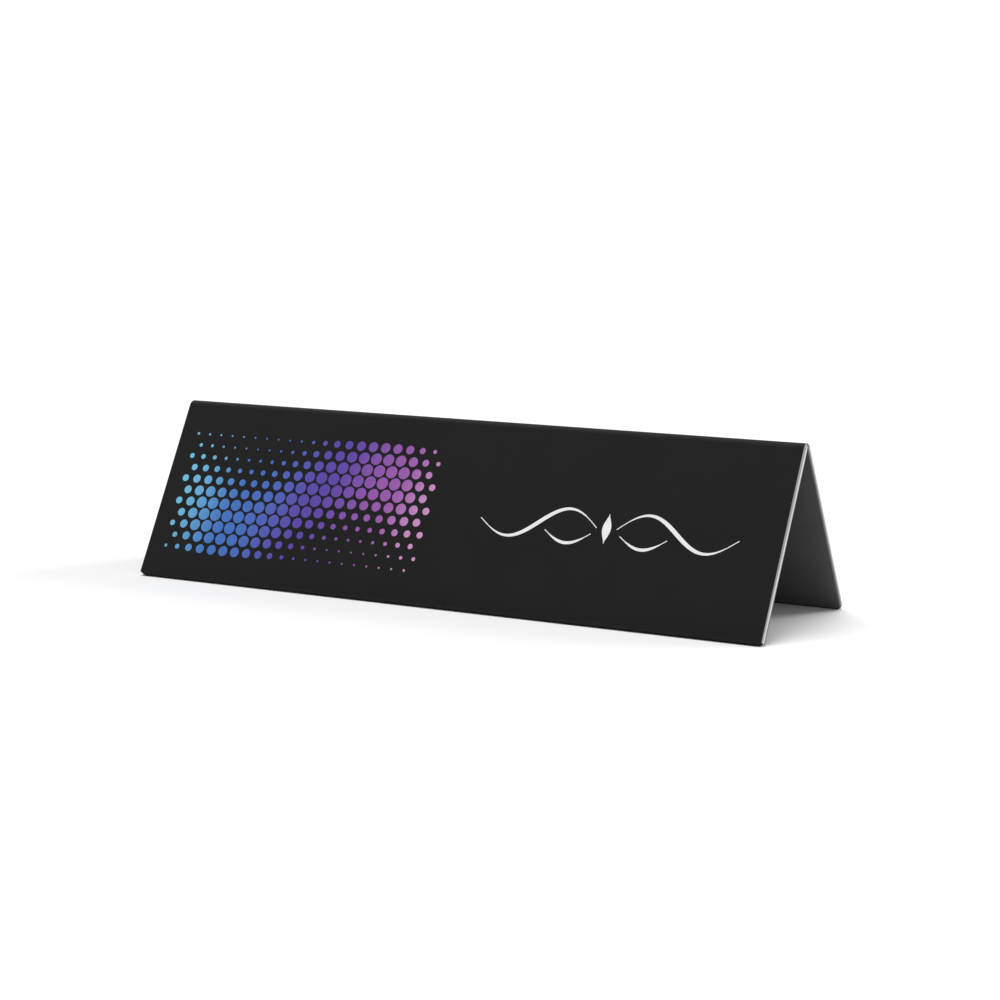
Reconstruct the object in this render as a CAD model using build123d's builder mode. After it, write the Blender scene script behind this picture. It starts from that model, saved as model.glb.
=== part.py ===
from build123d import *
import os
from math import cos, radians, sin, sqrt

# Desk name plate: a thin composite panel, grooved on the inside and folded into a tent.
# Frame: +X along the plate, front face towards -Y, +Z up.
# The origin is on the desk, in the middle of the footprint.

# Driving dimensions, in millimetres and degrees
panel_length = 210.0
leg_length = 56.5  # outer face of one leg, from the end of the fold's curve to the cut edge
fold_angle = 58.0  # between the two legs
fold_radius = 2.4  # outside of the fold
skin_thickness = 0.3
core_thickness = 1.4
skin_edge_land = 0.05  # square land left where the outer skin's ends are bevelled
foot_strip_thickness = 0.7
foot_strip_setback = 0.3  # the strips stop short of the panel's two ends
foot_strip_slant = 1.2  # their ends are trimmed at a slant and are shorter by this at the desk
foot_flat_depth = 0.25  # height of the corner that is missing where a foot strip stands flat
foot_edge_radius = 0.25  # lower outside edge of a foot strip

# Fits of the fold
seam_gap = 0.3  # between the two sides of the closed groove
fold_clearance = 0.2  # between the cores and the bent skin
hinge_relief_radius = 0.45  # round bottom of the groove, about the line that the panels turn on

# Sizes that follow
lean = radians(fold_angle / 2)
core_depth = skin_thickness + core_thickness
panel_thickness = core_depth + skin_thickness
skin_bevel = skin_thickness - skin_edge_land
foot_run = leg_length + foot_strip_thickness
foot_top_reach = panel_length / 2 - foot_strip_setback
foot_desk_reach = foot_top_reach - foot_strip_slant
skin_inner_radius = fold_radius - skin_thickness
core_radius = skin_inner_radius - fold_clearance
bend_height = foot_run * cos(lean) - (fold_radius - panel_thickness) * sin(lean) - foot_flat_depth
bend_centre = (0, bend_height)
hinge_line = (0, bend_height + skin_inner_radius)

SIDES = {"front": -1, "rear": 1}


def leg_point(side, run, depth):
    """Point (Y, Z) of the end view: run down the leg from the fold's curve, depth below its outer face."""
    reach = fold_radius - depth
    y = side * (reach * cos(lean) + run * sin(lean))
    z = bend_height + reach * sin(lean) - run * cos(lean)
    return (y, z)


def seam_point(side, depth):
    """Point (Y, Z) where the groove's side cuts a layer that lies depth below the outer face."""
    run = (seam_gap / 2 - (fold_radius - depth) * cos(lean)) / sin(lean)
    return leg_point(side, run, depth)


def bend_point(side, radius, angle):
    """Point (Y, Z) on a circle about the bend's centre, angle down from the crest on one side."""
    return (side * radius * sin(angle), bend_height + radius * cos(angle))


def finish_piece(piece, name):
    """Names a finished piece and writes its file."""
    piece.label = name
    export_step(piece, f"parts/{name}.step")


os.makedirs("parts", exist_ok=True)

# Outer skin over the fold, with its two ends bevelled as on the legs
with BuildPart() as fold_skin:
    with BuildSketch(Plane.YZ):
        with BuildLine():
            outside = CenterArc(bend_centre, fold_radius, fold_angle / 2, 180 - fold_angle)
            inside = CenterArc(bend_centre, skin_inner_radius, fold_angle / 2, 180 - fold_angle)
            Line(outside @ 0, inside @ 0)
            Line(outside @ 1, inside @ 1)
        make_face()
    extrude(amount=panel_length / 2, both=True)
    outer_face = fold_skin.faces().filter_by(GeomType.CYLINDER).sort_by(SortBy.AREA)[-1]
    chamfer(outer_face.edges().filter_by(GeomType.CIRCLE), length=skin_bevel)
finish_piece(fold_skin.part, "fold_skin")

for side_name, side in SIDES.items():
    outward = Axis((0, 0, bend_height), (0, side * cos(lean), sin(lean)))

    # Outer skin of the leg, bevelled at both ends
    with BuildPart() as outer_skin:
        with BuildSketch(Plane.YZ):
            with BuildLine():
                Polyline(
                    leg_point(side, 0, 0),
                    leg_point(side, leg_length, 0),
                    leg_point(side, leg_length, skin_thickness),
                    leg_point(side, 0, skin_thickness),
                    close=True,
                )
            make_face()
        extrude(amount=panel_length / 2, both=True)
        outer_face = outer_skin.faces().sort_by(outward)[-1]
        chamfer(outer_face.edges().filter_by(Plane.YZ), length=skin_bevel)
    finish_piece(outer_skin.part, f"{side_name}_outer_skin")

    # Core of the leg: it runs up under the bent skin and is mitred at the groove
    with BuildPart() as core:
        with BuildSketch(Plane.YZ):
            crest_height = sqrt(core_radius**2 - (seam_gap / 2) ** 2)
            crest = (side * seam_gap / 2, bend_height + crest_height)
            shoulder = leg_point(side, 0, fold_radius - core_radius)
            middle = bend_point(side, core_radius, radians(90) / 2 - lean / 2)
            with BuildLine():
                ThreePointArc(crest, middle, shoulder)
                Polyline(
                    shoulder,
                    leg_point(side, 0, skin_thickness),
                    leg_point(side, leg_length, skin_thickness),
                    leg_point(side, leg_length, core_depth),
                    seam_point(side, core_depth),
                    crest,
                )
            make_face()
            with Locations(hinge_line):
                Circle(hinge_relief_radius, mode=Mode.SUBTRACT)
        extrude(amount=panel_length / 2, both=True)
    finish_piece(core.part, f"{side_name}_core")

    # Inner skin of the leg, mitred at the groove
    with BuildPart() as inner_skin:
        with BuildSketch(Plane.YZ):
            with BuildLine():
                Polyline(
                    seam_point(side, core_depth),
                    leg_point(side, leg_length, core_depth),
                    leg_point(side, leg_length, panel_thickness),
                    seam_point(side, panel_thickness),
                    close=True,
                )
            make_face()
        extrude(amount=panel_length / 2, both=True)
    finish_piece(inner_skin.part, f"{side_name}_inner_skin")

    # Anti-slip strip on the leg's cut edge, flat where it stands on the desk, trimmed at a slant
    with BuildPart() as foot_strip:
        flat_depth = panel_thickness - foot_flat_depth / sin(lean)
        flat_run = foot_run - foot_flat_depth / cos(lean)
        with BuildSketch(Plane.YZ) as foot_section:
            with BuildLine():
                Polyline(
                    leg_point(side, leg_length, 0),
                    leg_point(side, foot_run, 0),
                    leg_point(side, foot_run, flat_depth),
                    leg_point(side, flat_run, panel_thickness),
                    leg_point(side, leg_length, panel_thickness),
                    close=True,
                )
            make_face()
            lower_corner = foot_section.vertices().sort_by_distance(leg_point(side, foot_run, 0))[0]
            fillet(lower_corner, radius=foot_edge_radius)
        extrude(amount=panel_length / 2, both=True)
        edge_y, edge_z = leg_point(side, leg_length, 0)
        leg_face = Plane((0, edge_y, edge_z), x_dir=(1, 0, 0), z_dir=outward.direction)
        desk_line = side * foot_strip_thickness
        with BuildSketch(leg_face):
            with BuildLine():
                Polyline(
                    (-foot_top_reach, 0),
                    (foot_top_reach, 0),
                    (foot_desk_reach, desk_line),
                    (-foot_desk_reach, desk_line),
                    close=True,
                )
            make_face()
        extrude(amount=2 * panel_thickness, both=True, mode=Mode.INTERSECT)
    finish_piece(foot_strip.part, f"{side_name}_foot_strip")
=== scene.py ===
"""Desk name plate: a thin composite panel, grooved inside and folded into a tent, dressed for its picture.

Lengths are in metres, and angles in radians unless a field says degrees. The plate lies along X, its
front looks towards -Y and Z is up.
"""
import logging
import math
from collections.abc import Iterator, Sequence
from dataclasses import dataclass, field
from enum import Enum
from functools import reduce
from typing import Optional, Protocol, Union

import bmesh
import bpy
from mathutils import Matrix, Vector
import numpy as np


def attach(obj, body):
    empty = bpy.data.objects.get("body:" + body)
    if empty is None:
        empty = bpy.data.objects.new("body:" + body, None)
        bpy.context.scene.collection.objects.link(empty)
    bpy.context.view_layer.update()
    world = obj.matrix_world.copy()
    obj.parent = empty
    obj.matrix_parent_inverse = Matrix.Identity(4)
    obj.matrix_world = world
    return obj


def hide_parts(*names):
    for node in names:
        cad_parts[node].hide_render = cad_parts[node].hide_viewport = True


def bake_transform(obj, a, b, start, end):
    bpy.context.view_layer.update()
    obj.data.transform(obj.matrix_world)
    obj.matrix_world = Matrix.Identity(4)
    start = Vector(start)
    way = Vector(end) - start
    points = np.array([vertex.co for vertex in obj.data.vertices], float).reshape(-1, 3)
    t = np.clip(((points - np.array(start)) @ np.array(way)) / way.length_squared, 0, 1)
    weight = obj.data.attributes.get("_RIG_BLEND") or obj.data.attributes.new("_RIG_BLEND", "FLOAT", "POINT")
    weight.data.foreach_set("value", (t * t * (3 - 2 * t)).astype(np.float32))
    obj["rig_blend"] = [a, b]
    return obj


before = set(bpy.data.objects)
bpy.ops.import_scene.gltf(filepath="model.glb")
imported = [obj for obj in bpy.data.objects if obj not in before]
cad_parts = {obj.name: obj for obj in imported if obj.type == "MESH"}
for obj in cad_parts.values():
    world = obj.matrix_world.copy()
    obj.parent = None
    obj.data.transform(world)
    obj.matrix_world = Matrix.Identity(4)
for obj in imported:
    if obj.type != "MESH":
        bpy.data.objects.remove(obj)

LOG = logging.getLogger("name_plate")
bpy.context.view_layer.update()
MM = 0.001
NOISE_RANGE = (0.3, 0.7)  # where nearly all values of a noise lie
NOISE_ROUGHNESS = 0.55
MIX_COLOUR_INPUTS = (0, 6, 7)  # share, first and second colour among the Mix node's inputs
MIX_COLOUR_OUTPUT = 2
INK_FILM = 0.018 * MM  # thickness of the printed ink
INK_LIFT = 0.4  # share of that thickness from the lacquer up to the middle of the ink

Colour = tuple[float, float, float]
Point = tuple[float, float]
Range = tuple[float, float]
Relief = tuple[float, float]  # depth, and the share of it that is used
Spot = tuple[float, float, float]
Quad = tuple[bmesh.types.BMVert, ...]
VertGrid = list[list[bmesh.types.BMVert]]
Socket = bpy.types.NodeSocket
Value = Union[Socket, float, int, bool, Sequence[float], bpy.types.Material]


class Side(Enum):
    """The two legs of the tent; the value starts the names of their pieces."""

    FRONT = "front"
    REAR = "rear"

    @property
    def body(self) -> str:
        """The body that this side's pieces move with."""
        return f"{self.value}_panel"


class Layer(Enum):
    """Solids of a leg that keep the frame's own mesh; the value ends their names."""

    CORE = "core"
    INNER_SKIN = "inner_skin"
    FOOT_STRIP = "foot_strip"


class Finish(Protocol):
    """Anything that can be built into a material."""

    def build(self) -> bpy.types.Material:
        """Returns the material."""


@dataclass(frozen=True)
class PanelSizes:
    """Sizes of the folded panel, the same as in the part's source."""

    length: float = 210.0 * MM
    leg: float = 56.5 * MM
    lean: float = math.radians(29.0)
    fold_radius: float = 2.4 * MM
    skin: float = 0.3 * MM
    core: float = 1.4 * MM
    skin_land: float = 0.05 * MM
    foot_strip: float = 0.7 * MM
    foot_flat: float = 0.25 * MM

    @property
    def half_length(self) -> float:
        """Distance from the middle of the plate to a cut end."""
        return self.length / 2

    @property
    def skin_bevel(self) -> float:
        """Depth and width of the bevel at the outer skin's ends."""
        return self.skin - self.skin_land

    @property
    def half_turn(self) -> float:
        """Angle through which the sheet bends on each side of the crest."""
        return math.pi / 2 - self.lean

    @property
    def half_bend(self) -> float:
        """Length of the bent outer face on each side of the crest."""
        return self.fold_radius * self.half_turn

    @property
    def half_girth(self) -> float:
        """Length of the outer face from the crest to a foot, laid flat."""
        return self.half_bend + self.leg

    @property
    def bend_height(self) -> float:
        """Works out where the bend's centre line lies.

        Returns:
            Its height above the desk.
        """
        thickness = 2 * self.skin + self.core
        run = (self.leg + self.foot_strip) * math.cos(self.lean)
        return run - (self.fold_radius - thickness) * math.sin(self.lean) - self.foot_flat

    @property
    def bend_edge(self) -> Point:
        """Y and Z of the line where the bend runs into the rear leg's outer face."""
        y = self.fold_radius * math.cos(self.lean)
        return (y, self.bend_height + self.fold_radius * math.sin(self.lean))

    def core_depths(self, shares: Range) -> Range:
        """Depths below the outer face at two shares of the core's thickness."""
        return (self.skin + shares[0] * self.core, self.skin + shares[1] * self.core)

    def front(self, x: float, run: float) -> Point:
        """Place on the flat blank of a point on the front face.

        Args:
            x: Place along the plate.
            run: Distance down the front face from the end of the bend.

        Returns:
            X and Y on the blank, whose crest line is Y = 0.
        """
        return (x, -(self.half_bend + run))


SIZES = PanelSizes()


def add_object(name: str, data: bpy.types.ID) -> bpy.types.Object:
    """Puts a new object into the scene.

    Args:
        name: The object's name.
        data: Its mesh, lamp or camera.

    Returns:
        The object.
    """
    made = bpy.data.objects.new(name, data)
    bpy.context.scene.collection.objects.link(made)
    return made


def direction(azimuth: float, elevation: float) -> Vector:
    """Way from the plate to something around it.

    Args:
        azimuth: Degrees round from the front towards +X.
        elevation: Degrees up from the desk.

    Returns:
        A vector of length 1.
    """
    turn, rise = math.radians(azimuth), math.radians(elevation)
    return Vector((math.sin(turn) * math.cos(rise), -math.cos(turn) * math.cos(rise), math.sin(rise)))


class Graph:
    """Adds nodes to a tree and joins them."""

    def __init__(self, tree: bpy.types.NodeTree) -> None:
        """Takes the tree that the nodes go into."""
        self.tree = tree

    def node(self, kind: str, **settings: object) -> bpy.types.Node:
        """Adds one node.

        Args:
            kind: Blender's name for the node type.
            settings: Properties of the node and their values.

        Returns:
            The new node.
        """
        made = self.tree.nodes.new(kind)
        for name, value in settings.items():
            setattr(made, name, value)
        return made

    def feed(self, target: Socket, value: Value) -> None:
        """Links an output to an input, or sets the input to a plain value.

        Args:
            target: The input.
            value: The output or the value.
        """
        if isinstance(value, bpy.types.NodeSocket):
            self.tree.links.new(value, target)
        else:
            target.default_value = value

    def fill(self, made: bpy.types.Node, **values: Value) -> bpy.types.Node:
        """Feeds a node's inputs by name.

        Args:
            made: The node.
            values: Values or outputs, by the input's name with underscores for spaces.

        Returns:
            The same node.
        """
        for name, value in values.items():
            self.feed(made.inputs[name.replace("_", " ")], value)
        return made

    def math(self, operation: str, *values: Value, clamp: bool = False) -> Socket:
        """Adds a Math node.

        Args:
            operation: Blender's name for what it does.
            values: Its inputs, in order.
            clamp: Whether the result is kept between 0 and 1.

        Returns:
            The result.
        """
        made = self.node("ShaderNodeMath", operation=operation, use_clamp=clamp)
        for target, value in zip(made.inputs, values):
            self.feed(target, value)
        return made.outputs[0]

    def times(self, *values: Value) -> Socket:
        """Multiplies two or more values."""
        return reduce(lambda first, second: self.math("MULTIPLY", first, second), values)

    def plus(self, first: Value, second: Value) -> Socket:
        """Adds two values."""
        return self.math("ADD", first, second)

    def minus(self, first: Value, second: Value) -> Socket:
        """Takes the second value from the first."""
        return self.math("SUBTRACT", first, second)

    def size_of(self, value: Value) -> Socket:
        """Drops a value's sign."""
        return self.math("ABSOLUTE", value)

    def parts(self, vector: Value) -> tuple[Socket, Socket, Socket]:
        """Splits a vector.

        Args:
            vector: The vector, or an output that gives it.

        Returns:
            Its X, Y and Z.
        """
        made = self.node("ShaderNodeSeparateXYZ")
        self.feed(made.inputs[0], vector)
        return tuple(made.outputs)

    def vector(self, x: Value, y: Value, z: Value) -> Socket:
        """Makes a vector.

        Args:
            x: Its X.
            y: Its Y.
            z: Its Z.

        Returns:
            The vector.
        """
        made = self.node("ShaderNodeCombineXYZ")
        for target, value in zip(made.inputs, (x, y, z)):
            self.feed(target, value)
        return made.outputs[0]

    def by_view(self, as_light: float, as_seen: float) -> Socket:
        """A level that differs between what is seen and what lights other things.

        Args:
            as_light: Level for light that falls on matte surfaces.
            as_seen: Level for the camera, for reflections and through glass.

        Returns:
            The level for the ray at hand.
        """
        ray = self.node("ShaderNodeLightPath").outputs
        seen = self.math("MAXIMUM", ray["Is Camera Ray"], ray["Is Glossy Ray"])
        seen = self.math("MAXIMUM", seen, ray["Is Transmission Ray"])
        return self.math("MULTIPLY_ADD", seen, as_seen - as_light, as_light)

    def ramp(self, value: Value, low: float, high: float, to_low: float, to_high: float) -> Socket:
        """Maps a value smoothly from one range to another.

        Args:
            value: The value to map.
            low: Start of the range that it comes from.
            high: End of the range that it comes from.
            to_low: Result at the start.
            to_high: Result at the end.

        Returns:
            The mapped value.
        """
        made = self.node("ShaderNodeMapRange", interpolation_type="SMOOTHSTEP")
        names = ("Value", "From Min", "From Max", "To Min", "To Max")
        for name, given in zip(names, (value, low, high, to_low, to_high)):
            self.feed(made.inputs[name], given)
        return made.outputs[0]

    def vary(self, noise: Value, least: float, most: float) -> Socket:
        """Maps a noise smoothly to the values between two limits."""
        return self.ramp(noise, *NOISE_RANGE, least, most)


class Shade(Graph):
    """The nodes of one material."""

    def __init__(self, name: str) -> None:
        """Starts a material with a Principled shader.

        Args:
            name: The material's name.
        """
        self.material = bpy.data.materials.new(name)
        self.material.use_nodes = True
        super().__init__(self.material.node_tree)
        self.shader = self.tree.nodes["Principled BSDF"]

    def place(self) -> Socket:
        """Place on the piece, in metres in the shared frame."""
        return self.node("ShaderNodeTexCoord").outputs["Object"]

    def blank_place(self, name: str, scale: float) -> Socket:
        """Place on the flat blank, in metres from the middle of its crest line.

        Args:
            name: The UV map that holds it.
            scale: Metres to one unit of the map.

        Returns:
            The place as a vector.
        """
        source = self.node("ShaderNodeUVMap", uv_map=name).outputs[0]
        made = self.node("ShaderNodeMapping")
        offset = (-0.5 * scale, -0.5 * scale, 0.0)
        self.fill(made, Vector=source, Location=offset, Scale=(scale, scale, scale))
        return made.outputs[0]

    def noise(self, place: Value, size: Union[float, Spot], detail: float = 3.0) -> Socket:
        """Soft random values from 0 to 1.

        Args:
            place: Where to read them.
            size: Size of a typical spot, or its size along X, Y and Z.
            detail: How many finer layers are added.

        Returns:
            The values.
        """
        spans = (size, size, size) if isinstance(size, float) else size
        stretch = self.node("ShaderNodeMapping")
        self.fill(stretch, Vector=place, Scale=tuple(1.0 / span for span in spans))
        made = self.node("ShaderNodeTexNoise")
        self.fill(made, Vector=stretch.outputs[0], Scale=1.0, Detail=detail, Roughness=NOISE_ROUGHNESS)
        return made.outputs[0]

    def mix(self, share: Value, first: Value, second: Value) -> Socket:
        """Blends two colours.

        Args:
            share: Share of the second colour, from 0 to 1.
            first: The first colour, or an output that gives it.
            second: The second colour, or an output that gives it.

        Returns:
            The blend.
        """
        made = self.node("ShaderNodeMix", data_type="RGBA")
        for index, value in zip(MIX_COLOUR_INPUTS, (share, first, second)):
            self.feed(made.inputs[index], (*value, 1.0) if isinstance(value, tuple) else value)
        return made.outputs[MIX_COLOUR_OUTPUT]

    def brighten(self, colour: Value, amount: Value) -> Socket:
        """Makes a colour lighter or darker.

        Args:
            colour: The colour, or an output that gives it.
            amount: What it is multiplied by.

        Returns:
            The changed colour.
        """
        made = self.node("ShaderNodeVectorMath", operation="SCALE")
        self.feed(made.inputs[0], colour)
        self.feed(made.inputs["Scale"], amount)
        return made.outputs[0]

    def relief(self, height: Value, depth: float, strength: float) -> None:
        """Gives the surface a fine relief.

        Args:
            height: Height from 0 to 1.
            depth: Distance between height 0 and height 1.
            strength: Share of that relief that is used.
        """
        made = self.node("ShaderNodeBump")
        self.fill(made, Height=height, Distance=depth, Strength=strength)
        self.feed(self.shader.inputs["Normal"], made.outputs[0])

    def finish(self, **values: Value) -> bpy.types.Material:
        """Feeds the shader's inputs by name and returns the material."""
        self.fill(self.shader, **values)
        return self.material


@dataclass(frozen=True)
class LacquerFinish:
    """Matte black coil lacquer, a little rubbed along the fold and the cut ends, with a painted highlight at
    the foot.
    """

    blank_map: str
    colour: Colour = (0.0105, 0.0105, 0.0110)
    # colour of real rubbing, used also for the painted highlight along the foot edges
    worn_and_highlight_colour: Colour = (0.050, 0.050, 0.051)
    roughness: Range = (0.53, 0.59)
    gloss: float = 0.085
    cloud: float = 24.0 * MM
    cloud_tone: Range = (0.95, 1.05)
    streak: Spot = (38.0 * MM, 0.9 * MM, 1.0)
    grain: float = 0.42 * MM
    speck: float = 0.16 * MM
    speck_tone: Range = (0.93, 1.07)
    speck_height: float = 0.4
    relief: Relief = (0.012 * MM, 0.35)
    edge_mark_start: float = 0.08 * MM
    end_rub_width: float = 0.45 * MM
    foot_highlight_width: float = 0.25 * MM
    edge_break_spot: float = 0.7 * MM
    edge_break_range: Range = (0.42, 0.66)
    edge_wear_and_highlight: float = 0.55
    crest_reach: Range = (0.3 * MM, 2.4 * MM)
    crest_streaks: Range = (0.45, 0.75)
    crest_wear: float = 0.20
    crest_polish: float = 0.05

    def build(self) -> bpy.types.Material:
        """Makes the lacquer on the sheet's blank, so that its pattern runs over the fold.

        Returns:
            The material.
        """
        shade = Shade("black_lacquer_matte")
        place = shade.blank_place(self.blank_map, SIZES.length)
        along, across, _ = shade.parts(place)
        from_crest = shade.size_of(across)
        clouds = shade.noise(place, self.cloud)
        streaks = shade.noise(place, self.streak)
        grain = shade.noise(place, self.grain)
        specks = shade.noise(place, self.speck, detail=2.0)
        to_end = shade.minus(SIZES.half_length, shade.size_of(along))
        to_foot = shade.minus(SIZES.half_girth, from_crest)
        end_rub = shade.ramp(to_end, self.edge_mark_start, self.end_rub_width, 1.0, 0.0)
        # painted highlight: a lighter line along the foot edges, broken up by the same noise as the rubbing
        # at the cut ends
        foot_painted_highlight = shade.ramp(to_foot, self.edge_mark_start, self.foot_highlight_width, 1.0, 0.0)
        edge_breaks = shade.ramp(shade.noise(place, self.edge_break_spot), *self.edge_break_range, 0.0, self.edge_wear_and_highlight)
        edge = shade.times(shade.math("MAXIMUM", end_rub, foot_painted_highlight), edge_breaks)
        crest = shade.ramp(from_crest, *self.crest_reach, 1.0, 0.0)
        rub = shade.times(crest, shade.ramp(streaks, *self.crest_streaks, 0.0, self.crest_wear))
        # real rubbing at the fold and the cut ends, together with the painted highlight along the foot
        wear_and_highlight = shade.math("ADD", edge, rub, clamp=True)
        tone = shade.times(shade.vary(clouds, *self.cloud_tone), shade.vary(specks, *self.speck_tone))
        colour = shade.mix(wear_and_highlight, shade.brighten(self.colour, tone), self.worn_and_highlight_colour)
        rough = shade.plus(shade.vary(streaks, *self.roughness), shade.times(crest, -self.crest_polish))
        shade.relief(shade.plus(grain, shade.times(specks, self.speck_height)), *self.relief)
        return shade.finish(Base_Color=colour, Roughness=rough, Specular_IOR_Level=self.gloss)


@dataclass(frozen=True)
class CutAluminiumFinish:
    """Bare aluminium of the outer skin's bevelled ends, with fine tool lines, and painted shade on the rear
    leg.
    """

    blank_map: str
    colour: Colour = (0.300, 0.302, 0.307)
    roughness: Range = (0.38, 0.54)
    line: Spot = (0.035 * MM, 3.0 * MM, 1.0)
    line_tone: Range = (0.86, 1.08)
    chatter: Spot = (2.0 * MM, 0.22 * MM, 1.0)
    chatter_tone: Range = (0.94, 1.05)
    chatter_height: float = 0.5
    relief: Relief = (0.006 * MM, 0.4)
    rear_painted_shade: float = 0.45
    rear_shade_reach: Range = (-2.5 * MM, 0.5 * MM)

    def build(self) -> bpy.types.Material:
        """Makes the metal on the sheet's blank.

        Returns:
            The material.
        """
        shade = Shade("cut_aluminium")
        place = shade.blank_place(self.blank_map, SIZES.length)
        _, across, _ = shade.parts(place)
        lines = shade.noise(place, self.line)
        chatter = shade.noise(place, self.chatter, detail=2.0)
        # painted shade: the bare ends are darker on the rear leg
        rear_shade = shade.ramp(across, *self.rear_shade_reach, 1.0, self.rear_painted_shade)
        tone = shade.times(shade.vary(lines, *self.line_tone), shade.vary(chatter, *self.chatter_tone))
        colour = shade.brighten(self.colour, shade.times(tone, rear_shade))
        shade.relief(shade.plus(lines, shade.times(chatter, self.chatter_height)), *self.relief)
        return shade.finish(Base_Color=colour, Roughness=shade.vary(lines, *self.roughness), Metallic=1.0)


@dataclass(frozen=True)
class LegPlace:
    """Place of a point of a leg's solids, with the leg laid flat."""

    shade: Shade
    place: Socket
    run: Socket
    depth: Socket
    to_end: Socket
    rear: Socket

    @classmethod
    def read(cls, shade: Shade) -> "LegPlace":
        """Adds the nodes that lay the leg flat.

        Args:
            shade: The material's nodes.

        Returns:
            The point along the plate, down the leg and below the outer face as one vector, the last two by
            themselves, its distance from the nearer cut end, and 1 on the rear leg or else 0.
        """
        x, y, z = shade.parts(shade.place())
        out = shade.size_of(y)
        rise = shade.minus(z, SIZES.bend_height)
        cosine, sine = math.cos(SIZES.lean), math.sin(SIZES.lean)
        run = shade.minus(shade.times(out, sine), shade.times(rise, cosine))
        reach = shade.plus(shade.times(out, cosine), shade.times(rise, sine))
        depth = shade.minus(SIZES.fold_radius, reach)
        to_end = shade.minus(SIZES.half_length, shade.size_of(x))
        rear = shade.math("GREATER_THAN", y, 0.0)
        return cls(shade, shade.vector(x, run, depth), run, depth, to_end, rear)

    def by_side(self, front: Value, rear: Value) -> Socket:
        """Takes one value on the front leg and another on the rear leg."""
        shade = self.shade
        return shade.plus(shade.times(front, shade.minus(1.0, self.rear)), shade.times(rear, self.rear))


@dataclass(frozen=True)
class CoreFinish:
    """Pale plastic core, with painted shade across its cut ends.

    Reaches are shares of the core's thickness, from the outer skin inwards.
    """

    colour: Colour = (0.82, 0.82, 0.81)
    roughness: Range = (0.54, 0.72)
    outer_painted_shade: float = 0.40
    outer_shade_reach: Range = (0.20, 0.75)
    inner_painted_shade: float = 0.30
    inner_shade_reach: Range = (1.00, 1.25)
    drift: float = 0.36
    drift_start: float = 0.30 * SIZES.leg
    rear_painted_shade: Range = (0.72, 0.05)
    rear_shade_reach: Range = (0.05, 0.95)
    cut_depth: Range = (0.01 * MM, 0.03 * MM)
    saw_mark: Spot = (1.0, 0.34 * MM, 2.4 * MM)
    mark_tone: Range = (0.90, 1.05)
    cloud: float = 5.0 * MM
    cloud_tone: Range = (0.96, 1.03)
    pit: float = 0.12 * MM
    pit_range: Range = (0.25, 0.45)
    pit_tone: Range = (0.92, 1.0)
    pit_height: float = 0.3
    relief: Relief = (0.02 * MM, 0.4)

    def painted_cut_shade(self, leg: LegPlace) -> Socket:
        """Painted shade across the cut ends.

        Args:
            leg: Place on the leg.

        Returns:
            The share of the core's own tone, which is 1 away from the cut ends.
        """
        shade = leg.shade
        # painted shade on the front ends: darker beside the outer skin and, towards the foot, on the inner
        # side; the drift shifts both bands towards the outer skin down the leg
        drift = shade.ramp(leg.run, self.drift_start, SIZES.leg, 0.0, self.drift * SIZES.core)
        moved = shade.plus(leg.depth, drift)
        outer_shade = shade.ramp(moved, *SIZES.core_depths(self.outer_shade_reach), self.outer_painted_shade, 1.0)
        inner_painted_shade = shade.ramp(moved, *SIZES.core_depths(self.inner_shade_reach), 1.0, self.inner_painted_shade)
        # painted shade on the rear ends, darkest on the inner side
        rear_shade = shade.ramp(leg.depth, *SIZES.core_depths(self.rear_shade_reach), *self.rear_painted_shade)
        inside = shade.ramp(leg.to_end, *self.cut_depth, 0.0, 1.0)
        return shade.math("MAXIMUM", leg.by_side(shade.times(outer_shade, inner_painted_shade), rear_shade), inside)

    def build(self) -> bpy.types.Material:
        """Makes the plastic with its saw marks and pits.

        Returns:
            The material.
        """
        shade = Shade("pale_core_sawn")
        leg = LegPlace.read(shade)
        marks = shade.noise(leg.place, self.saw_mark)
        clouds = shade.noise(leg.place, self.cloud)
        pits = shade.noise(leg.place, self.pit, detail=2.0)
        pit_tone = shade.ramp(pits, *self.pit_range, *self.pit_tone)
        plain = shade.times(shade.vary(marks, *self.mark_tone), shade.vary(clouds, *self.cloud_tone))
        colour = shade.brighten(self.colour, shade.times(plain, self.painted_cut_shade(leg), pit_tone))
        shade.relief(shade.plus(marks, shade.times(pits, self.pit_height)), *self.relief)
        return shade.finish(Base_Color=colour, Roughness=shade.vary(marks, *self.roughness))


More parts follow.
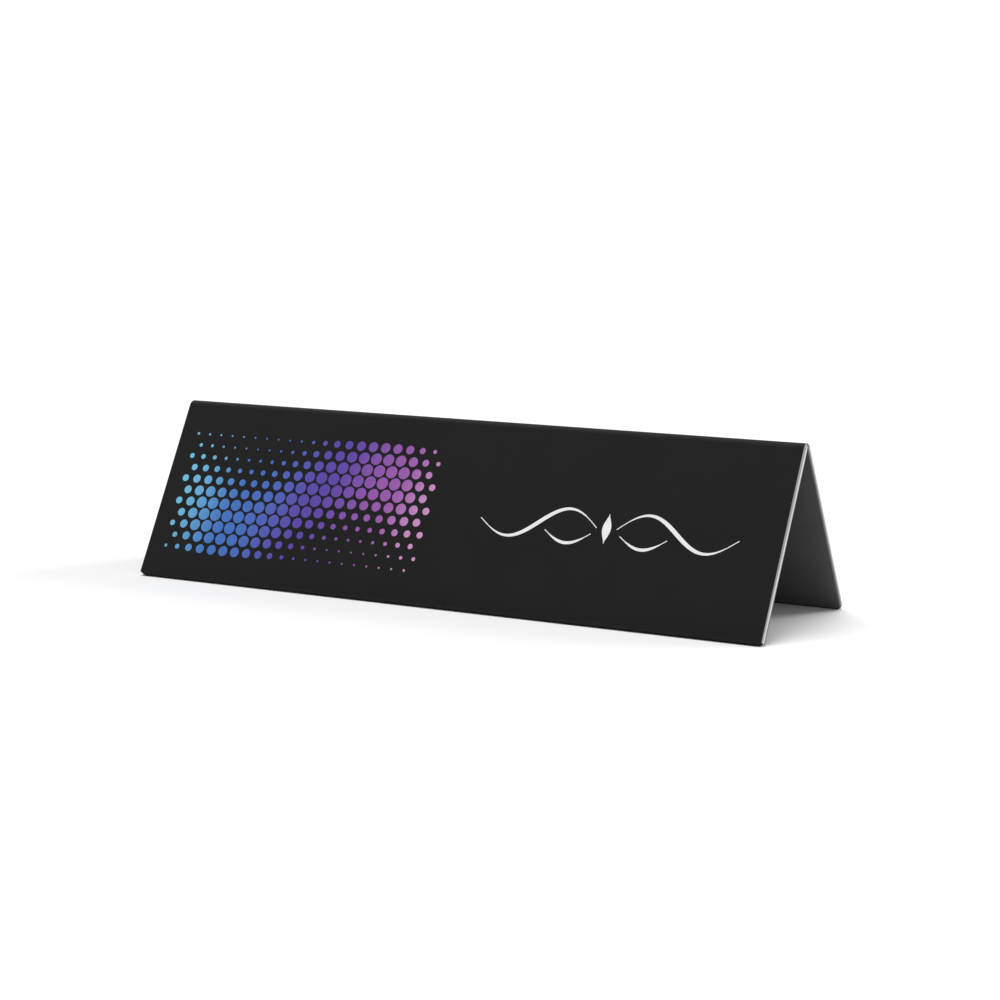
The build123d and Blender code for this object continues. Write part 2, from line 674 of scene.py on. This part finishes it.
@dataclass(frozen=True)
class ServiceCoatFinish:
    """Thin dark grey coat on the inner skins, rolled on along the plate, with bare metal at the cut ends
    that carries painted light and shade.
    """

    colour: Colour = (0.076, 0.076, 0.077)
    metal: Colour = (0.120, 0.121, 0.123)
    front_metal_painted_light: Range = (3.6, 0.3)
    front_metal_light_run: float = 0.65 * SIZES.leg
    rear_metal_painted_shade: float = 0.42
    bare_depth: Range = (0.006 * MM, 0.012 * MM)
    roughness: Range = (0.17, 0.23)
    gloss: float = 0.75
    rolled_line: Spot = (60.0 * MM, 0.55 * MM, 1.0)
    rolled_tone: Range = (0.975, 1.025)
    rolled_height: float = 0.3
    cloud: float = 16.0 * MM
    cloud_tone: Range = (0.96, 1.04)
    grain: float = 0.22 * MM
    grain_roughness: Range = (-0.02, 0.02)
    scuff_reach: Range = (0.1 * MM, 0.9 * MM)
    scuff_grain: Range = (0.52, 0.68)
    scuff: float = 0.10
    relief: Relief = (0.003 * MM, 0.10)

    def build(self) -> bpy.types.Material:
        """Makes the coat, scuffed near the cut ends and bare on them.

        Returns:
            The material.
        """
        shade = Shade("grey_service_coat")
        leg = LegPlace.read(shade)
        rolled = shade.noise(leg.place, self.rolled_line)
        clouds = shade.noise(leg.place, self.cloud)
        grain = shade.noise(leg.place, self.grain)
        bare = shade.ramp(leg.to_end, *self.bare_depth, 1.0, 0.0)
        near_end = shade.ramp(leg.to_end, *self.scuff_reach, 1.0, 0.0)
        scuffs = shade.times(near_end, shade.ramp(grain, *self.scuff_grain, 0.0, self.scuff))
        # painted light on the bare ends: a painted highlight near the fold of the front leg, fading to
        # painted shade towards its foot, and painted shade on the rear leg
        front_metal_painted_light = shade.ramp(leg.run, 0.0, self.front_metal_light_run, *self.front_metal_painted_light)
        metal = shade.brighten(self.metal, leg.by_side(front_metal_painted_light, self.rear_metal_painted_shade))
        tone = shade.times(shade.vary(rolled, *self.rolled_tone), shade.vary(clouds, *self.cloud_tone))
        colour = shade.mix(shade.math("MAXIMUM", bare, scuffs), shade.brighten(self.colour, tone), metal)
        rough = shade.plus(shade.vary(rolled, *self.roughness), shade.vary(grain, *self.grain_roughness))
        shade.relief(shade.plus(grain, shade.times(rolled, self.rolled_height)), *self.relief)
        return shade.finish(Base_Color=colour, Roughness=rough, Metallic=bare, Specular_IOR_Level=self.gloss)


@dataclass(frozen=True)
class RubberFinish:
    """Black anti-slip rubber with a fine pebble and a dusty bloom."""

    colour: Colour = (0.0095, 0.0095, 0.0095)
    bloom: Colour = (0.040, 0.040, 0.039)
    roughness: Range = (0.72, 0.86)
    gloss: float = 0.15
    pebble: float = 0.16 * MM
    relief: Relief = (0.02 * MM, 0.5)
    cloud: float = 4.0 * MM
    dusty_clouds: Range = (0.5, 0.8)
    dust: float = 0.35

    def build(self) -> bpy.types.Material:
        """Makes the rubber.

        Returns:
            The material.
        """
        shade = Shade("black_foot_rubber")
        place = shade.place()
        pebble = shade.node("ShaderNodeTexVoronoi", feature="SMOOTH_F1")
        shade.fill(pebble, Vector=place, Scale=1.0 / self.pebble)
        clouds = shade.noise(place, self.cloud)
        dust = shade.ramp(clouds, *self.dusty_clouds, 0.0, self.dust)
        colour = shade.mix(dust, self.colour, self.bloom)
        rough = shade.vary(clouds, *self.roughness)
        shade.relief(pebble.outputs["Distance"], *self.relief)
        return shade.finish(Base_Color=colour, Roughness=rough, Specular_IOR_Level=self.gloss)


@dataclass(frozen=True)
class GradientInkFinish:
    """Printed ink whose colour runs along the plate, slightly uneven as ink on lacquer is."""

    start: float = -101.0 * MM
    end: float = -6.0 * MM
    middle_height: float = 26.0 * MM
    tilt: float = 0.35
    stops: tuple[tuple[float, Colour], ...] = (
        (0.00, (0.180, 0.560, 0.800)),
        (0.28, (0.052, 0.170, 0.560)),
        (0.56, (0.105, 0.055, 0.400)),
        (0.80, (0.330, 0.100, 0.430)),
        (1.00, (0.680, 0.310, 0.610)),
    )
    roughness: Range = (0.42, 0.54)
    gloss: float = 0.3
    film: float = 0.35 * MM
    film_tone: Range = (0.93, 1.05)
    relief: Relief = (0.006 * MM, 0.35)

    def build(self) -> bpy.types.Material:
        """Makes the ink.

        Returns:
            The material.
        """
        shade = Shade("gradient_ink")
        place = shade.place()
        x, _, z = shade.parts(place)
        slant = shade.plus(x, shade.times(shade.minus(self.middle_height, z), self.tilt))
        share = shade.math("DIVIDE", shade.minus(slant, self.start), self.end - self.start, clamp=True)
        bands = shade.node("ShaderNodeValToRGB")
        shade.feed(bands.inputs[0], share)
        ramp = bands.color_ramp
        ramp.interpolation = "EASE"
        for position, colour in self.stops[1:-1]:
            ramp.elements.new(position).color = (*colour, 1.0)
        ramp.elements[0].color = (*self.stops[0][1], 1.0)
        ramp.elements[-1].color = (*self.stops[-1][1], 1.0)
        film = shade.noise(place, self.film)
        colour = shade.brighten(bands.outputs[0], shade.vary(film, *self.film_tone))
        rough = shade.vary(film, *self.roughness)
        shade.relief(film, *self.relief)
        return shade.finish(Base_Color=colour, Roughness=rough, Specular_IOR_Level=self.gloss)


@dataclass(frozen=True)
class WhiteInkFinish:
    """White printed ink, a little uneven in tone."""

    colour: Colour = (0.97, 0.97, 0.97)
    roughness: Range = (0.44, 0.56)
    gloss: float = 0.3
    film: float = 0.30 * MM
    film_tone: Range = (0.95, 1.03)
    cloud: float = 4.0 * MM
    cloud_tone: Range = (0.97, 1.02)
    relief: Relief = (0.006 * MM, 0.35)

    def build(self) -> bpy.types.Material:
        """Makes the ink.

        Returns:
            The material.
        """
        shade = Shade("white_ink")
        place = shade.place()
        film = shade.noise(place, self.film)
        clouds = shade.noise(place, self.cloud, detail=2.0)
        tone = shade.times(shade.vary(film, *self.film_tone), shade.vary(clouds, *self.cloud_tone))
        colour = shade.brighten(self.colour, tone)
        rough = shade.vary(film, *self.roughness)
        shade.relief(film, *self.relief)
        return shade.finish(Base_Color=colour, Roughness=rough, Specular_IOR_Level=self.gloss)


class Recipe(Graph):
    """A Geometry Nodes tree with named inputs."""

    def __init__(self, name: str) -> None:
        """Starts a tree that takes a geometry and gives one back.

        Args:
            name: The tree's name.
        """
        super().__init__(bpy.data.node_groups.new(name, "GeometryNodeTree"))
        self.entry = self.node("NodeGroupInput")
        self.exit = self.node("NodeGroupOutput")
        self.inputs: dict[str, str] = {}
        self.start = self.take("Geometry", "NodeSocketGeometry")
        self.tree.interface.new_socket(name="Geometry", in_out="OUTPUT", socket_type="NodeSocketGeometry")

    def take(self, name: str, kind: str = "NodeSocketFloat") -> Socket:
        """Adds a named input.

        Args:
            name: The input's name.
            kind: Blender's name for the socket type.

        Returns:
            The output that carries the input's value.
        """
        made = self.tree.interface.new_socket(name=name, in_out="INPUT", socket_type=kind)
        self.inputs[name] = made.identifier
        return self.entry.outputs[name]

    def position(self) -> tuple[Socket, Socket, Socket]:
        """X, Y and Z of each point of a geometry."""
        return self.parts(self.node("GeometryNodeInputPosition").outputs[0])

    def step(self, kind: str, geometry: Value, **values: Value) -> Socket:
        """Adds a node that changes a geometry.

        Args:
            kind: Blender's name for the node type.
            geometry: The geometry that it changes.
            values: The node's other inputs, by name.

        Returns:
            The changed geometry.
        """
        made = self.node(kind)
        self.feed(made.inputs[0], geometry)
        self.fill(made, **values)
        return made.outputs[0]

    def give(self, geometry: Socket) -> None:
        """Sends a geometry out of the tree."""
        self.feed(self.exit.inputs[0], geometry)

    def bake(self, name: str, mesh: bpy.types.Mesh, values: dict[str, object]) -> bpy.types.Object:
        """Runs the tree on a mesh and keeps the result as a plain mesh.

        Args:
            name: Name of the finished piece.
            mesh: The mesh that the tree starts from.
            values: The tree's inputs by name.

        Returns:
            The finished piece, with no modifier left on it.
        """
        piece = add_object(name, mesh)
        modifier = piece.modifiers.new("recipe", "NODES")
        modifier.node_group = self.tree
        for key, value in values.items():
            modifier[self.inputs[key]] = value
        graph = bpy.context.evaluated_depsgraph_get()
        shaped = piece.evaluated_get(graph)
        made = bpy.data.meshes.new_from_object(shaped, preserve_all_data_layers=True, depsgraph=graph)
        made.name = name
        piece.modifiers.remove(modifier)
        piece.data = made
        bpy.data.meshes.remove(mesh)
        return piece


@dataclass
class FoldRecipe:
    """The rule that folds anything laid on the flat blank over the crest."""

    sizes: PanelSizes = SIZES
    tree: Optional[bpy.types.NodeTree] = None

    def build(self) -> "FoldRecipe":
        """Makes the node group, in which Y of the blank becomes a way round the bend and down a leg.

        Returns:
            This rule, ready for use.
        """
        recipe = Recipe("fold_over_crest")
        radius = recipe.take("Fold Radius")
        turn = recipe.take("Half Turn")
        height = recipe.take("Bend Height")
        x, way, rise = recipe.position()
        limit = recipe.node("ShaderNodeClamp")
        recipe.fill(limit, Value=recipe.math("DIVIDE", way, radius), Min=recipe.times(turn, -1.0), Max=turn)
        angle = limit.outputs[0]
        run = recipe.minus(way, recipe.times(angle, radius))
        reach = recipe.plus(radius, rise)
        sine = recipe.math("SINE", angle)
        cosine = recipe.math("COSINE", angle)
        y = recipe.plus(recipe.times(reach, sine), recipe.times(run, cosine))
        z = recipe.minus(recipe.times(reach, cosine), recipe.times(run, sine))
        place = recipe.vector(x, y, recipe.plus(z, height))
        recipe.give(recipe.step("GeometryNodeSetPosition", recipe.start, Position=place))
        self.tree = recipe.tree
        return self

    def apply(self, recipe: Recipe, geometry: Socket) -> Socket:
        """Folds a geometry inside another tree.

        Args:
            recipe: The tree that the fold is added to.
            geometry: What lies on the blank.

        Returns:
            The folded geometry.
        """
        made = recipe.node("GeometryNodeGroup", node_tree=self.tree)
        recipe.feed(made.inputs["Geometry"], geometry)
        recipe.fill(made, Fold_Radius=self.sizes.fold_radius)
        recipe.fill(made, Half_Turn=self.sizes.half_turn, Bend_Height=self.sizes.bend_height)
        return made.outputs[0]


@dataclass
class OuterSheet:
    """The lacquered aluminium sheet that runs down the front, over the fold and down the back.

    The profile of its ends gives, from a cut end inwards, the distance from that end, the depth of the
    bevel there and whether the metal is bare.
    """

    fold: FoldRecipe
    sizes: PanelSizes = SIZES
    blank_map: str = "blank"
    bare_mark: str = "bare_metal"
    slot: str = "black_lacquer"
    edge_radius: float = 0.09 * MM
    edge_turns: tuple[float, ...] = (22.5, 45.0, 67.5, 90.0)
    end_profile: tuple[tuple[float, float, bool], ...] = (
        (0.0, SIZES.skin_bevel, True),
        (0.235 * MM, 0.018 * MM, True),
        (0.265 * MM, 0.005 * MM, False),
        (0.31 * MM, 0.0, False),
    )
    bend_steps: int = 56
    leg_steps: int = 8
    length_steps: int = 12
    nodes: tuple[str, ...] = ("front_outer_skin", "fold_skin", "rear_outer_skin")

    def rows(self) -> list[tuple[float, float]]:
        """Lines along the blank, from the front foot to the rear one.

        Returns:
            Y on the blank and depth below the outer face of each line.
        """
        bend, foot, radius = self.sizes.half_bend, self.sizes.half_girth, self.edge_radius
        ways = [bend * (2 * i / self.bend_steps - 1) for i in range(self.bend_steps + 1)]
        legs = [bend + (foot - radius - bend) * i / self.leg_steps for i in range(1, self.leg_steps + 1)]
        turns = [math.radians(angle) for angle in self.edge_turns]
        half = [(way, 0.0) for way in legs]
        half += [(foot - radius * (1 - math.sin(turn)), radius * (1 - math.cos(turn))) for turn in turns]
        front = [(-way, depth) for way, depth in reversed(half)]
        return front + [(way, 0.0) for way in ways] + half

    def columns(self) -> list[tuple[float, float, bool]]:
        """Lines across the blank, from the left end to the right one.

        Returns:
            X, least depth of the outer face there, and whether the metal is bare.
        """
        left = [(offset - self.sizes.half_length, depth, bare) for offset, depth, bare in self.end_profile]
        right = [(-x, depth, bare) for x, depth, bare in reversed(left)]
        start, stop = left[-1][0], right[0][0]
        steps = [start + (stop - start) * i / self.length_steps for i in range(1, self.length_steps)]
        return left + [(x, 0.0, False) for x in steps] + right

    def quads(self, outer: VertGrid, inner: VertGrid, bare: list[bool]) -> Iterator[tuple[Quad, bool]]:
        """Faces that close the sheet.

        Args:
            outer: Vertices of the outer face, by column and row.
            inner: Vertices of the inner face, by column and row.
            bare: Whether the metal of the outer face is bare at each column.

        Returns:
            The corners of each face, and whether it is bare metal.
        """
        last = len(outer[0]) - 1
        for i in range(len(outer) - 1):
            for j in range(last):
                both_bare = bare[i] and bare[i + 1]
                yield (outer[i][j], outer[i + 1][j], outer[i + 1][j + 1], outer[i][j + 1]), both_bare
                yield (inner[i][j], inner[i][j + 1], inner[i + 1][j + 1], inner[i + 1][j]), True
            yield (inner[i][0], inner[i + 1][0], outer[i + 1][0], outer[i][0]), True
            yield (outer[i][last], outer[i + 1][last], inner[i + 1][last], inner[i][last]), True
        for j in range(last):
            yield (inner[0][j], outer[0][j], outer[0][j + 1], inner[0][j + 1]), True
            yield (outer[-1][j], inner[-1][j], inner[-1][j + 1], outer[-1][j + 1]), True

    def blank(self) -> bpy.types.Mesh:
        """Makes the flat sheet with its bevelled ends.

        Returns:
            A closed mesh with the blank's map and a mark on the bare faces.
        """
        made = bmesh.new()
        blank_uv = made.loops.layers.uv.new(self.blank_map)
        mark = made.faces.layers.bool.new(self.bare_mark)
        rows, columns = self.rows(), self.columns()
        outer, inner = [], []
        for x, least, _ in columns:
            outer.append([made.verts.new((x, way, -max(least, depth))) for way, depth in rows])
        for x, _, _ in columns:
            inner.append([made.verts.new((x, way, -self.sizes.skin)) for way, _ in rows])
        for corners, bare in self.quads(outer, inner, [column[2] for column in columns]):
            face = made.faces.new(corners)
            face[mark] = bare
            face.smooth = True
            for loop in face.loops:
                spot = loop.vert.co / self.sizes.length
                loop[blank_uv].uv = (spot.x + 0.5, spot.y + 0.5)
        bmesh.ops.recalc_face_normals(made, faces=made.faces)
        mesh = bpy.data.meshes.new("sheet_blank")
        made.to_mesh(mesh)
        made.free()
        return mesh

    def build(self) -> bpy.types.Object:
        """Folds the blank, dresses it and lets it bend with the joint.

        Returns:
            The finished sheet.
        """
        recipe = Recipe("folded_sheet")
        lacquer = recipe.take("Lacquer", "NodeSocketMaterial")
        metal = recipe.take("Bare Metal", "NodeSocketMaterial")
        folded = self.fold.apply(recipe, recipe.start)
        mark = recipe.node("GeometryNodeInputNamedAttribute", data_type="BOOLEAN")
        recipe.fill(mark, Name=self.bare_mark)
        real = recipe.step("GeometryNodeRealizeInstances", folded)
        painted = recipe.step("GeometryNodeSetMaterial", real, Material=lacquer)
        cut = recipe.step("GeometryNodeSetMaterial", painted, Selection=mark.outputs[0], Material=metal)
        recipe.give(cut)
        finishes = {
            "Lacquer": LacquerFinish(self.blank_map).build(),
            "Bare Metal": CutAluminiumFinish(self.blank_map).build(),
        }
        sheet = recipe.bake("outer_sheet", self.blank(), finishes)
        y, z = self.sizes.bend_edge
        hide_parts(*self.nodes)
        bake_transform(sheet, Side.FRONT.body, Side.REAR.body, start=(0.0, -y, z), end=(0.0, y, z))
        return sheet


@dataclass
class LegLayers:
    """Core, inner skin and foot strip of the two legs, which keep the frame's own solids."""

    finishes: dict[Layer, Finish] = field(
        default_factory=lambda: {
            Layer.CORE: CoreFinish(),
            Layer.INNER_SKIN: ServiceCoatFinish(),
            Layer.FOOT_STRIP: RubberFinish(),
        }
    )

    def dress(self) -> list[bpy.types.Object]:
        """Gives each solid its finish.

        Returns:
            The dressed solids.
        """
        materials = {layer: finish.build() for layer, finish in self.finishes.items()}
        dressed = []
        for side in Side:
            for layer, material in materials.items():
                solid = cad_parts[f"{side.value}_{layer.value}"]
                for place in solid.material_slots:
                    place.material = material
                dressed.append(solid)
        return dressed


@dataclass
class DotPrint:
    """Staggered dots in a wavy band, printed on the left of the front face.

    Bow and swell are shares of the pitch times half the rows, the taper's ends of the pitch times half the
    columns.
    """

    fold: FoldRecipe
    sizes: PanelSizes = SIZES
    centre: Point = (-53.5 * MM, 28.3 * MM)
    columns: int = 21
    rows: int = 11
    pitch: float = 4.35 * MM
    row_share: float = math.sqrt(0.75)
    largest: float = 1.95 * MM
    smallest: float = 0.32 * MM
    bow: float = 0.42
    swell: Range = (0.10, 1.05)
    taper: Range = (0.72, 1.05)
    taper_to: float = 0.45
    sides: int = 24
    film: float = INK_FILM

    def points(self, recipe: Recipe, pitch: Socket) -> Socket:
        """Lays out the middles of the dots.

        Args:
            recipe: The tree that they are added to.
            pitch: Distance between neighbours in a row.

        Returns:
            A grid whose rows are shifted by turns.
        """
        grid = recipe.node("GeometryNodeMeshGrid")
        recipe.fill(grid, Vertices_X=self.columns, Vertices_Y=self.rows)
        recipe.fill(grid, Size_X=recipe.times(pitch, self.columns - 1.0))
        recipe.fill(grid, Size_Y=recipe.times(pitch, (self.rows - 1.0) * self.row_share))
        index = recipe.node("GeometryNodeInputIndex").outputs[0]
        odd = recipe.math("MODULO", recipe.math("MODULO", index, float(self.rows)), 2.0)
        shift = recipe.times(recipe.minus(odd, 0.5), recipe.times(pitch, 0.5))
        return recipe.step("GeometryNodeSetPosition", grid.outputs[0], Offset=recipe.vector(shift, 0.0, 0.0))

    def share(self, recipe: Recipe, pitch: Socket) -> Socket:
        """How large the dot at each point of the grid is.

        Args:
            recipe: The tree that it is added to.
            pitch: Distance between neighbours in a row.

        Returns:
            A share from 0 for the smallest to 1 for the largest, which follows a wave along the band.
        """
        x, y, _ = recipe.position()
        across = recipe.math("DIVIDE", x, recipe.times(pitch, self.columns / 2))
        upward = recipe.math("DIVIDE", y, recipe.times(pitch, self.rows / 2))
        wave = recipe.times(recipe.math("SINE", recipe.times(across, math.pi)), self.bow)
        off = recipe.size_of(recipe.minus(upward, wave))
        swell = recipe.ramp(off, *self.swell, 1.0, 0.0)
        taper = recipe.ramp(recipe.size_of(across), *self.taper, 1.0, self.taper_to)
        return recipe.times(swell, taper)

    def build(self) -> bpy.types.Object:
        """Prints the dots.

        Returns:
            The print, riding on the front panel.
        """
        recipe = Recipe("dot_band")
        middle = recipe.take("Middle", "NodeSocketVector")
        pitch = recipe.take("Pitch")
        largest = recipe.take("Largest Radius")
        smallest = recipe.take("Smallest Radius")
        film = recipe.take("Film")
        ink = recipe.take("Ink", "NodeSocketMaterial")
        points = self.points(recipe, pitch)
        room = recipe.minus(largest, smallest)
        radius = recipe.math("MULTIPLY_ADD", room, self.share(recipe, pitch), smallest)
        disc = recipe.node("GeometryNodeMeshCylinder")
        recipe.fill(disc, Vertices=self.sides, Radius=1.0, Depth=1.0)
        spread = recipe.node("GeometryNodeInstanceOnPoints")
        recipe.fill(spread, Points=points, Instance=disc.outputs[0])
        recipe.fill(spread, Scale=recipe.vector(radius, radius, film))
        laid = recipe.step("GeometryNodeTransform", spread.outputs[0], Translation=middle)
        real = recipe.step("GeometryNodeRealizeInstances", laid)
        folded = self.fold.apply(recipe, real)
        plain = recipe.step("GeometryNodeSetShadeSmooth", folded, Shade_Smooth=False)
        recipe.give(recipe.step("GeometryNodeSetMaterial", plain, Material=ink))
        values = {
            "Middle": (*self.sizes.front(*self.centre), self.film * INK_LIFT),
            "Pitch": self.pitch,
            "Largest Radius": self.largest,
            "Smallest Radius": self.smallest,
            "Film": self.film,
            "Ink": GradientInkFinish().build(),
        }
        dots = recipe.bake("dot_print", bpy.data.meshes.new("dot_start"), values)
        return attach(dots, Side.FRONT.body)


@dataclass(frozen=True)
class Wave:
    """One wavy pen stroke to the right of an ornament's middle; its fade is the share of height lost."""

    nib: float
    start: float
    end: float
    height: float
    level: float
    turns: float
    fade: float
    steps: int = 40

    def points(self) -> list[Point]:
        """Points along the stroke.

        Returns:
            X and Y of each point from the ornament's middle, in order outwards.
        """
        found = []
        for i in range(self.steps + 1):
            share = i / self.steps
            swing = self.height * (1.0 - self.fade * share) * math.sin(2 * math.pi * self.turns * share)
            found.append((self.start + (self.end - self.start) * share, self.level + swing))
        return found


LONG_WAVE = Wave(
    nib=0.62 * MM, start=3.2 * MM, end=41.0 * MM, height=5.2 * MM, level=0.0, turns=1.0, fade=0.12
)
SHORT_WAVE = Wave(
    nib=0.46 * MM, start=4.6 * MM, end=19.4 * MM, height=-3.4 * MM, level=-1.9 * MM, turns=0.5, fade=0.0
)


@dataclass
class FlourishPrint:
    """A white pen ornament, the same to the left and right of its middle, on the right of the front face."""

    fold: FoldRecipe
    sizes: PanelSizes = SIZES
    centre: Point = (51.0 * MM, 28.5 * MM)
    film: float = INK_FILM
    steps: int = 90
    hairline: float = 0.13 * MM
    pressure: float = 1.3
    lens_nib: float = 1.35 * MM
    lens_reach: float = 4.4 * MM
    lens_steps: int = 8
    waves: tuple[Wave, ...] = (LONG_WAVE, SHORT_WAVE)
    nib_mark: str = "nib"

    def strokes(self) -> list[tuple[float, list[Point]]]:
        """All strokes, with the waves of the right side mirrored to the left.

        Returns:
            Half the width of each stroke's widest place, and its points from the ornament's middle.
        """
        levels = [2 * i / self.lens_steps - 1.0 for i in range(self.lens_steps + 1)]
        found = [(self.lens_nib, [(0.0, self.lens_reach * level) for level in levels])]
        for wave in self.waves:
            found.append((wave.nib, wave.points()))
            found.append((wave.nib, [(-x, y) for x, y in wave.points()]))
        return found

    def guide(self) -> bpy.types.Mesh:
        """Makes the chains of points that the pen follows, laid on the blank.

        Returns:
            A mesh of edges with the width of the pen at each point.
        """
        x0, y0 = self.sizes.front(*self.centre)
        places, edges, nibs = [], [], []
        for nib, points in self.strokes():
            first = len(places)
            places += [(x0 + x, y0 + y, 0.0) for x, y in points]
            edges += [(first + i, first + i + 1) for i in range(len(points) - 1)]
            nibs += [nib] * len(points)
        mesh = bpy.data.meshes.new("flourish_guide")
        mesh.from_pydata(places, edges, [])
        width = mesh.attributes.new(self.nib_mark, "FLOAT", "POINT")
        width.data.foreach_set("value", nibs)
        return mesh

    def draw(self, recipe: Recipe, hairline: Socket) -> Socket:
        """Draws the strokes as square rods that swell in the middle.

        Args:
            recipe: The tree that they are added to.
            hairline: Half the least width of a stroke.

        Returns:
            The rods, as high as they are wide.
        """
        chain = recipe.step("GeometryNodeMeshToCurve", recipe.start)
        smooth = recipe.node("GeometryNodeCurveSplineType", spline_type="CATMULL_ROM")
        recipe.feed(smooth.inputs[0], chain)
        path = recipe.step("GeometryNodeResampleCurve", smooth.outputs[0], Count=self.steps)
        nib = recipe.node("GeometryNodeInputNamedAttribute", data_type="FLOAT")
        recipe.fill(nib, Name=self.nib_mark)
        factor = recipe.node("GeometryNodeSplineParameter").outputs["Factor"]
        swell = recipe.math("POWER", recipe.math("SINE", recipe.times(factor, math.pi)), self.pressure)
        half = recipe.math("MAXIMUM", recipe.times(nib.outputs[0], swell), hairline)
        profile = recipe.node("GeometryNodeCurvePrimitiveQuadrilateral")
        recipe.fill(profile, Width=2.0, Height=2.0)
        flat = recipe.node("GeometryNodeSetCurveNormal", mode="Z_UP")
        recipe.feed(flat.inputs[0], path)
        sweep = recipe.node("GeometryNodeCurveToMesh")
        recipe.fill(sweep, Curve=flat.outputs[0], Profile_Curve=profile.outputs[0], Scale=half)
        recipe.fill(sweep, Fill_Caps=True)
        return sweep.outputs[0]

    def build(self) -> bpy.types.Object:
        """Prints the strokes.

        Returns:
            The print, riding on the front panel.
        """
        recipe = Recipe("pen_strokes")
        film = recipe.take("Film")
        hairline = recipe.take("Hairline")
        ink = recipe.take("Ink", "NodeSocketMaterial")
        rods = self.draw(recipe, hairline)
        x, y, z = recipe.position()
        half_film = recipe.times(recipe.math("SIGN", z), recipe.times(film, 0.5))
        level = recipe.vector(x, y, recipe.plus(half_film, recipe.times(film, INK_LIFT)))
        pressed = recipe.step("GeometryNodeSetPosition", rods, Position=level)
        real = recipe.step("GeometryNodeRealizeInstances", self.fold.apply(recipe, pressed))
        plain = recipe.step("GeometryNodeSetShadeSmooth", real, Shade_Smooth=False)
        recipe.give(recipe.step("GeometryNodeSetMaterial", plain, Material=ink))
        values = {"Film": self.film, "Hairline": self.hairline, "Ink": WhiteInkFinish().build()}
        strokes = recipe.bake("flourish_print", self.guide(), values)
        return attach(strokes, Side.FRONT.body)


@dataclass(frozen=True)
class Sun:
    """One soft lamp far away; its angles are degrees, its level what a white card facing it shows."""

    name: str
    azimuth: float
    elevation: float
    level: float
    spread: float

    def build(self) -> None:
        """Hangs the lamp."""
        lamp = bpy.data.lights.new(self.name, "SUN")
        lamp.energy = self.level * math.pi
        lamp.angle = math.radians(self.spread)
        piece = add_object(self.name, lamp)
        piece.rotation_mode = "QUATERNION"
        piece.rotation_quaternion = direction(self.azimuth, self.elevation).to_track_quat("Z", "Y")


@dataclass(frozen=True)
class Viewpoint:
    """Where the picture was taken from; angles in degrees, focal length as a share of its width."""

    azimuth: float = 29.3828
    elevation: float = 9.0569
    distance: float = 712.708 * MM
    target: tuple[float, float, float] = (7.336 * MM, 0.0, 28.486 * MM)
    focal_share: float = 2.391711
    sensor_width: float = 36.0
    nearest: float = 0.01
    farthest: float = 200.0

    def build(self) -> None:
        """Puts the camera there."""
        data = bpy.data.cameras.new("camera")
        data.sensor_fit = "HORIZONTAL"
        data.sensor_width = self.sensor_width
        data.lens = self.focal_share * self.sensor_width
        data.clip_start = self.nearest
        data.clip_end = self.farthest
        camera = add_object("camera", data)
        back = direction(self.azimuth, self.elevation)
        camera.location = Vector(self.target) + back * self.distance
        camera.rotation_mode = "QUATERNION"
        camera.rotation_quaternion = (-back).to_track_quat("-Z", "Y")
        bpy.context.scene.camera = camera


@dataclass
class Studio:
    """Pale floor, white surroundings, soft lamps and the camera."""

    floor_half: float = 30.0
    floor_drop: float = 0.02 * MM
    floor_level: float = 0.90
    floor_seen_level: float = 1.02
    surroundings_level: float = 0.393
    surroundings_seen_level: float = 1.0
    suns: tuple[Sun, ...] = (
        Sun("overhead", azimuth=-49.0, elevation=82.2, level=0.552, spread=40.0),
        Sun("back_right", azimuth=138.0, elevation=31.4, level=0.307, spread=23.0),
    )
    viewpoint: Viewpoint = Viewpoint()

    def lay_floor(self) -> None:
        """Lays the floor just under the foot strips."""
        half, level = self.floor_half, -self.floor_drop
        mesh = bpy.data.meshes.new("floor")
        corners = [(-half, -half, level), (half, -half, level), (half, half, level), (-half, half, level)]
        mesh.from_pydata(corners, [], [(0, 1, 2, 3)])
        floor = add_object("floor", mesh)
        shade = Shade("pale_floor")
        paint = shade.node("ShaderNodeBsdfDiffuse")
        shade.fill(paint, Color=shade.by_view(self.floor_level, self.floor_seen_level))
        shade.feed(shade.tree.nodes["Material Output"].inputs["Surface"], paint.outputs[0])
        mesh.materials.append(shade.material)

    def light_world(self) -> None:
        """Makes the surroundings white to the eye and in reflections, and dimmer as light."""
        world = bpy.data.worlds.new("studio")
        world.use_nodes = True
        bpy.context.scene.world = world
        graph = Graph(world.node_tree)
        level = graph.by_view(self.surroundings_level, self.surroundings_seen_level)
        graph.fill(world.node_tree.nodes["Background"], Color=(1.0, 1.0, 1.0, 1.0), Strength=level)

    def build(self) -> None:
        """Sets up the whole studio."""
        bpy.context.scene.view_settings.view_transform = "Standard"
        self.lay_floor()
        self.light_world()
        for sun in self.suns:
            sun.build()
        self.viewpoint.build()


def main() -> None:
    """Builds the studio and the plate."""
    logging.basicConfig(level=logging.INFO, format="%(name)s: %(message)s")
    Studio().build()
    fold = FoldRecipe().build()
    pieces = [OuterSheet(fold).build()]
    pieces += LegLayers().dress()
    pieces += [DotPrint(fold).build(), FlourishPrint(fold).build()]


if __name__ == "__main__":
    main()
